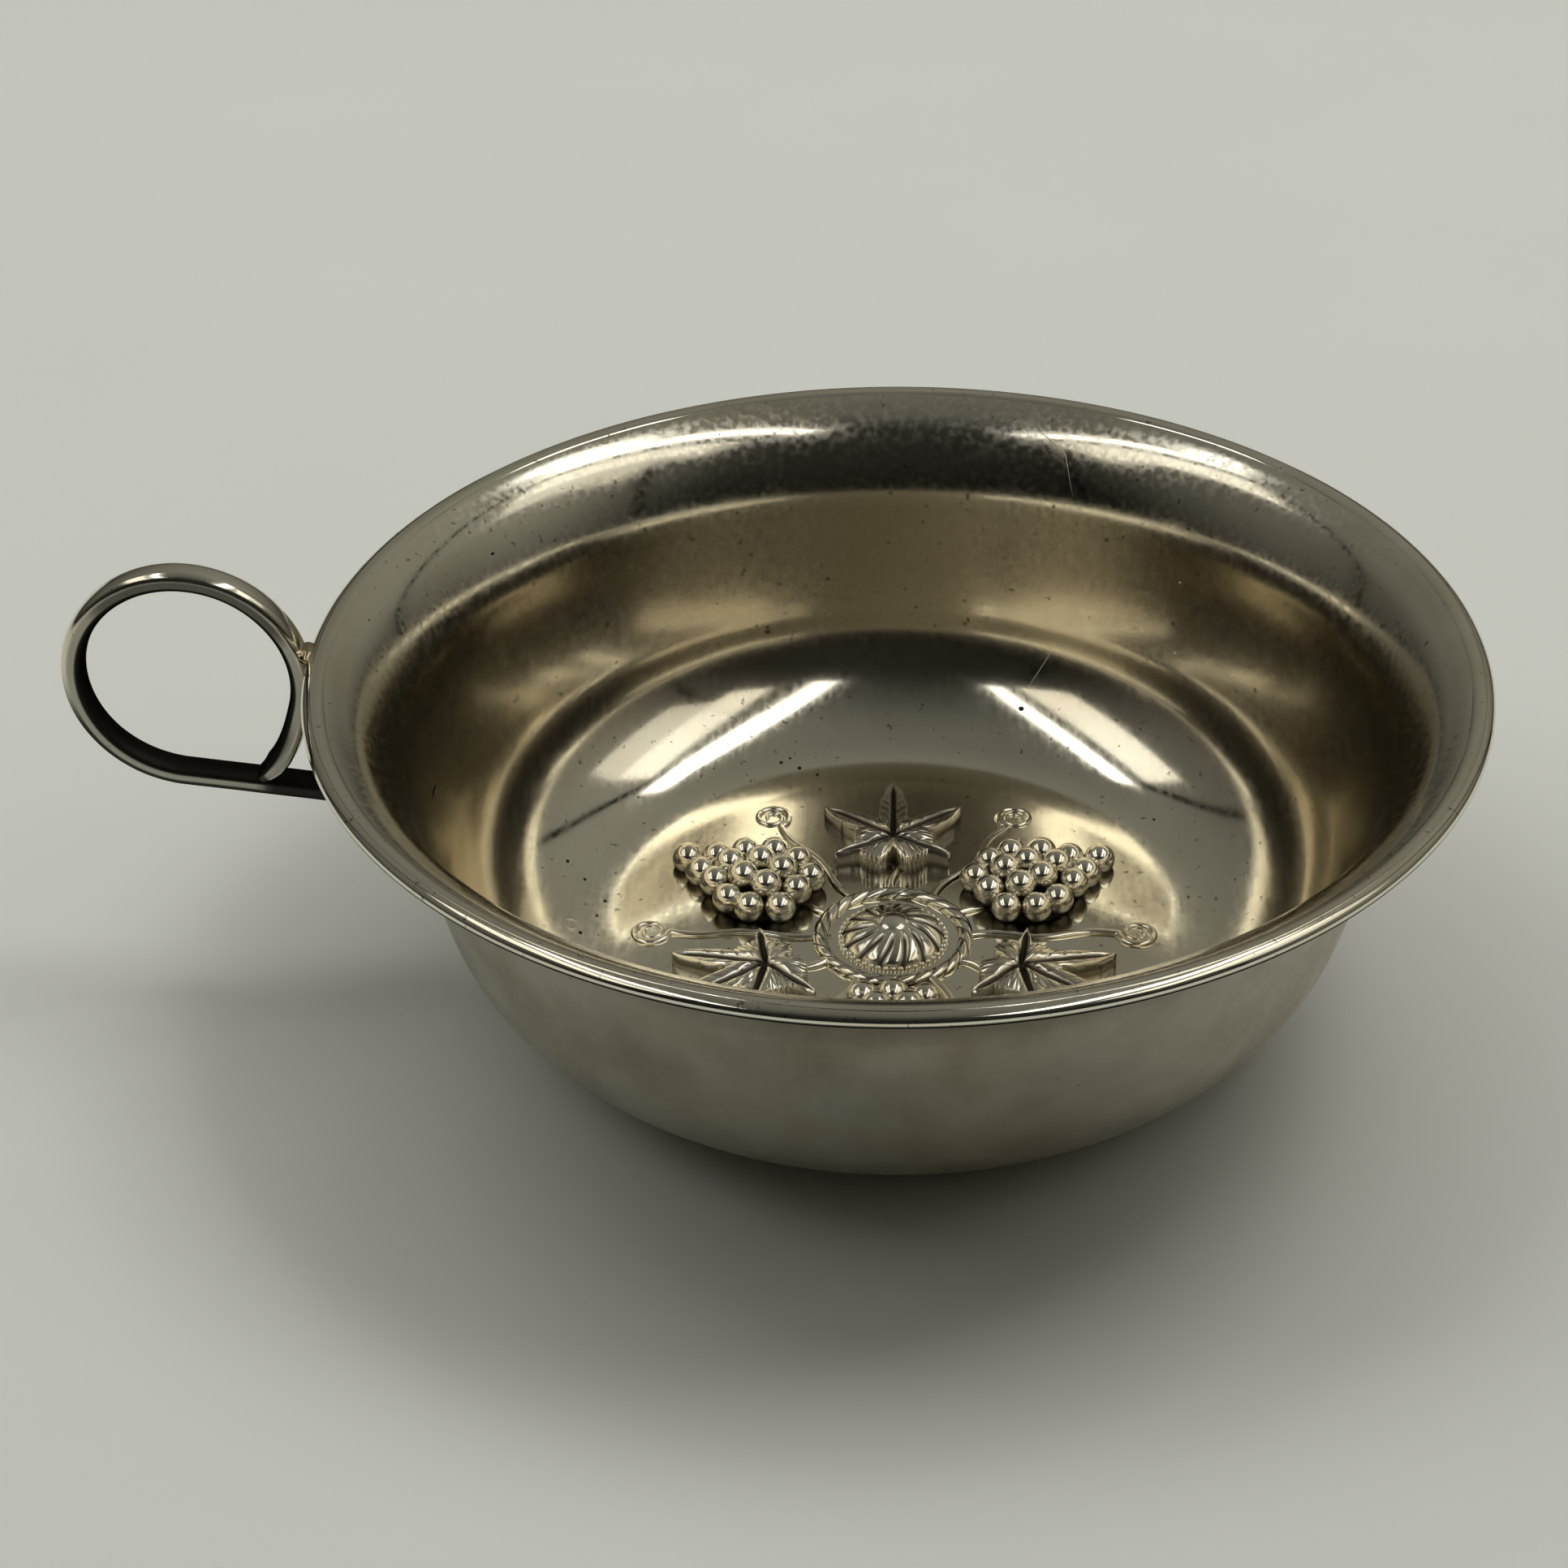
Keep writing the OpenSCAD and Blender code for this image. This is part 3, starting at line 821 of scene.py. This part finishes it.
# Notch at the stalk: part of the blade that it takes, and half width in radians
NOTCH_DEPTH = 0.55
NOTCH_HALF = 0.22
# Teeth round the edge: number, part of the blade that they take, and place of the tip in a tooth
TEETH = 46
TOOTH_DEPTH = 0.10
TOOTH_TIP = 0.35
# Rows of points lie a little closer towards the edge
ROW_POWER = 0.9
# Half width and depth of a vein, the part of the blade over which it fades at the edge, and its dirt
VEIN = 0.3 * MM
VEIN_FADE = 1 / 5
VEIN_DIRT, VEIN_DIRT_GAIN = 0.95, 1.4
# Ribs beside the veins: pitch, lean, half width as a part of the pitch, depth, fade and dirt
RIB_PITCH = 1.5 * MM
RIB_LEAN = 1.2
RIB_HALF = 0.11
RIB_DEPTH = 0.2 * VEIN
RIB_FADE = 1 / 4
RIB_DIRT = 0.4
# Swelling between the veins, and the angle from a vein, in radians, where it is full
PUFF = 0.4 * MM
PUFF_ANGLE = 0.5
# How far the blade's edge runs down below the floor, and the dirt there
FOOT_SINK = 0.05 * MM
FOOT_DIRT = 0.8


def leaf_edge(a, away):
    """Reach of the blade at angles, as a part of the leaf's length. away: angles from each lobe."""
    side = np.clip(1 - away / (LOBE_SPREAD * lobe_half), 0, 1)
    lobes = lobe_len * (BLUNT_SHARE * side ** BLUNT_POWER + POINT_SHARE * side ** POINT_POWER)
    edge = np.maximum(LEAF_LEAST, lobes.max(0))
    edge *= 1 - NOTCH_DEPTH * np.exp(-((np.abs(a) - math.pi) / NOTCH_HALF) ** 2)
    return edge * (1 - TOOTH_DEPTH * np.abs((a * TEETH / (2 * math.pi)) % 1 - TOOTH_TIP))


def leaf():
    """Blade with toothed edges, veins, ribs and swellings."""
    rows, columns = 56, 480
    a = np.linspace(-math.pi, math.pi, columns, endpoint=False)
    away = np.abs((a - np.radians(lobe_turn) + math.pi) % (2 * math.pi) - math.pi)
    nearest = away.min(0)
    t = np.linspace(0, 1, rows)[:, None] ** ROW_POWER
    radius = t * leaf_edge(a, away) * LEAF_LEN
    forward, aside = radius * np.cos(nearest), radius * np.sin(nearest)
    vein = np.exp(-(aside / VEIN) ** 2) * smooth_step((1 - t) / VEIN_FADE)
    rib = ((forward - RIB_LEAN * aside) / RIB_PITCH) % 1 - 0.5
    rib = np.exp(-(rib / RIB_HALF) ** 2) * smooth_step(aside / (2 * VEIN))
    rib *= smooth_step((1 - t) / RIB_FADE)
    puff = np.sin(math.pi * t) * smooth_step(nearest / PUFF_ANGLE)
    fall = (radius / (lobe_len.max() * LEAF_LEN)) ** 2
    height = LEAF_H - (LEAF_H - LEAF_EDGE) * fall + PUFF * puff - VEIN * vein - RIB_DEPTH * rib
    x = leaf_r + LEAF_HEART * LEAF_LEN + radius * np.cos(a)
    blade = np.stack([x, radius * np.sin(a), SHEET + height], -1)
    foot = blade[-1:].copy()
    foot[..., 2] = SHEET - FOOT_SINK
    patina_and_shade = np.maximum(VEIN_DIRT * smooth_step(VEIN_DIRT_GAIN * vein), RIB_DIRT * rib)
    patina_and_shade = np.concatenate([patina_and_shade, np.full((1, columns), FOOT_DIRT)])
    return shape(np.concatenate([blade, foot]), grid_faces(rows + 1, columns), patina_and_shade)


def vine_leaves():
    parts = [turned(leaf(), FIRST_LEAF + i * VINE_STEP) for i in range(VINE_COUNT)]
    add_piece("vine_leaf_castings", joined(parts), [ornament_silver], "vine_leaves")


# Grape bunches: grapes on a low crowned core

# How far a grape may lie from its place, in millimetres
GRAPE_STRAY = 0.12
# Parts of a grape's radius: the least and the greatest grape, the height of its middle over its seat, the
# height up to which patina and painted shade darken the gaps and each grape's underside, and the place of
# the tip from the middle
GRAPE_SIZES = (0.95, 1.03)
GRAPE_SEAT = 0.6
GAP_HEIGHT = 1.2
GRAPE_TIP = np.array([0.55, 0.0, 0.8])
GRAPE_TIP_R = 0.16 * MM
GAP_PATINA_AND_SHADE = 0.9
# Radius of the core as a part of the bunch's half width
CORE_PART = 0.85


def bunch(seed):
    """Grapes in rows, each with its own small shift and size."""
    rng = random.Random(seed)
    half = max(BUNCH_ROWS) / 2 * GRAPE_PITCH
    # The crown lies a third of the way from the first row to the last
    crown_x = bunch_r + row_pitch * (len(BUNCH_ROWS) - 1) / 3
    parts = []
    for row, count in enumerate(BUNCH_ROWS):
        for i in range(count):
            x = bunch_r + row * row_pitch + rng.uniform(-GRAPE_STRAY, GRAPE_STRAY) * MM
            y = (i - (count - 1) / 2) * GRAPE_PITCH + rng.uniform(-GRAPE_STRAY, GRAPE_STRAY) * MM
            lift = BUNCH_CROWN * max(0, 1 - ((x - crown_x) ** 2 + y ** 2) / half ** 2)
            size = GRAPE_R * rng.uniform(*GRAPE_SIZES)
            centre = np.array([x, y, SHEET + GRAPE_SEAT * GRAPE_R + lift])
            grape = ball(centre, [size] * 3, columns=28, rows=18)
            # Patina in the gaps between grapes, and painted shade darkening each grape's lower part
            over_seat = (grape["points"][:, 2] - SHEET - lift) / (GAP_HEIGHT * GRAPE_R)
            grape["patina_and_shade"] = GAP_PATINA_AND_SHADE * (1 - smooth_step(over_seat))
            tip = ball(centre + size * GRAPE_TIP, [GRAPE_TIP_R] * 3, columns=10, rows=6)
            parts += [grape, tip]
    core_r = CORE_PART * half
    core = ball((crown_x, 0, SHEET), (core_r, core_r, BUNCH_CROWN), columns=40, rows=20)
    core["points"][:, 2] = np.maximum(core["points"][:, 2], SHEET / 2)
    # The core between the grapes is all dark: patina in the hollows, partly painted shade
    core["patina_and_shade"] = np.ones(len(core["points"]))
    return joined([*parts, core])


def grape_bunches():
    parts = [turned(bunch(i), FIRST_LEAF + (i + 0.5) * VINE_STEP) for i in range(VINE_COUNT)]
    piece = joined(parts)
    add_piece("grape_bunch_castings", piece, [ornament_silver], "grape_bunches")


bowl()
rim_wire()
handle_strap()
rim_solder()
wall_solder()
centre_boss()
vine_stem()
vine_leaves()
grape_bunches()


# Floor, light and camera

FLOOR_HALF = 3.0
# The floor lies just below the base, so that the two faces don't share a plane
FLOOR_DROP = 0.02 * MM
FLOOR_PATCHES = (60 * MM, 3, 0.3, 0.7)
FLOOR_SHADES = ((0.82, 0.84, 0.80), (0.84, 0.86, 0.82))
FLOOR_ROUGH = 0.55


def floor_material():
    material, n, inputs = new_material("pale_floor")
    n.put(inputs["Base Color"], n.spread(FLOOR_PATCHES, *FLOOR_SHADES))
    n.put(inputs["Roughness"], FLOOR_ROUGH)
    return material


def floor():
    mesh = bpy.data.meshes.new("floor")
    half = FLOOR_HALF
    corners = [(-half, -half, 0), (half, -half, 0), (half, half, 0), (-half, half, 0)]
    mesh.from_pydata(corners, [], [[0, 1, 2, 3]])
    mesh.materials.append(floor_material())
    plane = bpy.data.objects.new("floor", mesh)
    plane.location.z = -FLOOR_DROP
    bpy.context.scene.collection.objects.link(plane)


WARM = (1.0, 0.96, 0.86)
COOL = (1.0, 0.99, 0.95)
CEILING = 1.0
# Panels on the ceiling that show in the silver: place, size, radiance, colour and turn in degrees
CEILING_PANELS = (
    ("wide_left", (-0.84, -0.20), (0.40, 1.08), 1.1, WARM, 0),
    ("narrow_left", (-0.49, -0.17), (0.10, 1.10), 2.5, COOL, 0),
    ("narrow_right", (0.41, -0.16), (0.14, 1.25), 2.5, COOL, -7),
    ("wide_right", (0.76, -0.20), (0.30, 1.05), 1.1, WARM, 0),
    ("glow_right", (1.16, -0.10), (0.50, 0.90), 0.6, WARM, 0),
)
# Lamps that light the floor: place, size and radiance. Each faces the cup.
FLOOR_LAMPS = (
    ("right_side", (0.87, 0.19, 0.65), (0.55, 0.70), 0.63),
    ("left_side", (-0.80, 0.16, 0.70), (0.50, 0.50), 1.58),
    ("high_right", (0.45, 0.26, 0.97), (0.50, 0.40), 4.95),
    ("high_back", (0.04, 0.48, 1.00), (0.50, 0.30), 2.65),
    ("high_left", (-0.42, 0.30, 0.97), (0.50, 0.40), 2.2),
    ("back_left", (-0.65, 0.65, 0.70), (0.50, 0.50), 1.0),
)


def panel(name, centre, size, radiance, colour, turn, on_floor):
    """Soft box that faces down until it is turned. It shows in the silver, or lights the floor."""
    light = bpy.data.lights.new(name, "AREA")
    light.shape = "RECTANGLE"
    light.size, light.size_y = size
    light.energy = radiance * math.pi * size[0] * size[1]
    light.color = colour
    lamp = bpy.data.objects.new(name, light)
    lamp.location = centre
    lamp.rotation_euler = turn
    lamp.visible_glossy = not on_floor
    lamp.visible_diffuse = on_floor
    bpy.context.scene.collection.objects.link(lamp)


def lights():
    for name, place, size, radiance, colour, degrees in CEILING_PANELS:
        turn = (0, 0, math.radians(degrees))
        panel(name, (*place, CEILING), size, radiance, colour, turn, on_floor=False)
    for name, centre, size, radiance in FLOOR_LAMPS:
        away = Vector(centre).to_track_quat("Z", "Y").to_euler()
        panel(name, centre, size, radiance, COOL, away, on_floor=True)


# Radiance of the room by the height of a direction, from the horizon to the zenith
ROOM = (
    (0.0, (0.03, 0.028, 0.022)),
    (0.2, (0.12, 0.115, 0.095)),
    (0.45, (0.19, 0.184, 0.156)),
    (0.8, (0.22, 0.214, 0.184)),
    (1.0, (0.14, 0.136, 0.117)),
)
# Strength of the room along Y and X: two places on a direction's Y or X, and the strengths there
FRONT_TO_BACK = (-0.75, 0.1, 0.1, 1.0)
LEFT_TO_RIGHT = (-0.8, 0.4, 0.6, 1.08)
# Normals of the planes in which the corners of the room lie, seen from the cup
SEAMS = ((0.676, -0.719, -0.158), (0.485, 0.875, 0.0))
# Distances from such a plane at which a dark corner starts to end and has ended, and the strengths there
SEAM_EDGE = (0.012, 0.034, 0.02, 1.0)
# Heights of a direction between which the corners run out overhead
OVERHEAD = (0.78, 0.87)


def surroundings():
    """Grey ceiling over darker walls with dark corners, falling to near black on the camera's side."""
    world = bpy.data.worlds.new("room")
    bpy.context.scene.world = world
    world.use_nodes = True
    n = Nodes(world.node_tree)
    direction = n.add("ShaderNodeTexCoord").outputs["Generated"]
    parts = n.split(direction)
    front = n.between(parts["Y"], *FRONT_TO_BACK)
    side = n.between(parts["X"], *LEFT_TO_RIGHT, kind="LINEAR")
    overhead = n.between(parts["Z"], *OVERHEAD)
    strength = n.math("MULTIPLY", front, side)
    for normal in SEAMS:
        inputs = {0: direction, 1: normal}
        across = n.add("ShaderNodeVectorMath", inputs, operation="DOT_PRODUCT").outputs["Value"]
        seam = n.between(n.math("ABSOLUTE", across), *SEAM_EDGE)
        strength = n.math("MULTIPLY", strength, n.math("MAXIMUM", seam, overhead))
    background = world.node_tree.nodes["Background"].inputs
    n.put(background["Color"], n.ramp(parts["Z"], ROOM))
    n.put(background["Strength"], strength)


# Camera fitted to the photo, in the photo's pixels
PHOTO_WIDTH = 1932
FOCAL_PIXELS = 3500
# Where the middle of the rim lies in the picture, right of the picture's middle and below it
RIM_MIDDLE = (135.0, -169.9)
CAMERA_ELEVATION = math.radians(31.46)
CAMERA_DISTANCE = 253.4 * MM
# Blender gives the sensor and the lens in millimetres
SENSOR = 36.0
CLIP_START = 0.01


def camera():
    c, s = math.cos(CAMERA_ELEVATION), math.sin(CAMERA_ELEVATION)
    right = Vector((1, 0, 0))
    forward = Vector((0, c, -s))
    up = right.cross(forward)
    yaw = Matrix.Rotation(math.atan2(RIM_MIDDLE[0], FOCAL_PIXELS), 3, up)
    forward, right = yaw @ forward, yaw @ right
    pitch = Matrix.Rotation(math.atan2(RIM_MIDDLE[1], FOCAL_PIXELS), 3, right)
    forward, up = pitch @ forward, pitch @ up
    data = bpy.data.cameras.new("camera")
    data.sensor_width = SENSOR
    data.lens = SENSOR * FOCAL_PIXELS / PHOTO_WIDTH
    data.clip_start = CLIP_START
    eye = bpy.data.objects.new("camera", data)
    place = Vector((0, -CAMERA_DISTANCE * c, RIM_Z + CAMERA_DISTANCE * s))
    turn = Matrix((right, up, -forward)).transposed()
    eye.matrix_world = Matrix.Translation(place) @ turn.to_4x4()
    bpy.context.scene.collection.objects.link(eye)
    bpy.context.scene.camera = eye


floor()
lights()
surroundings()
camera()
bpy.context.scene.view_settings.view_transform = "Standard"
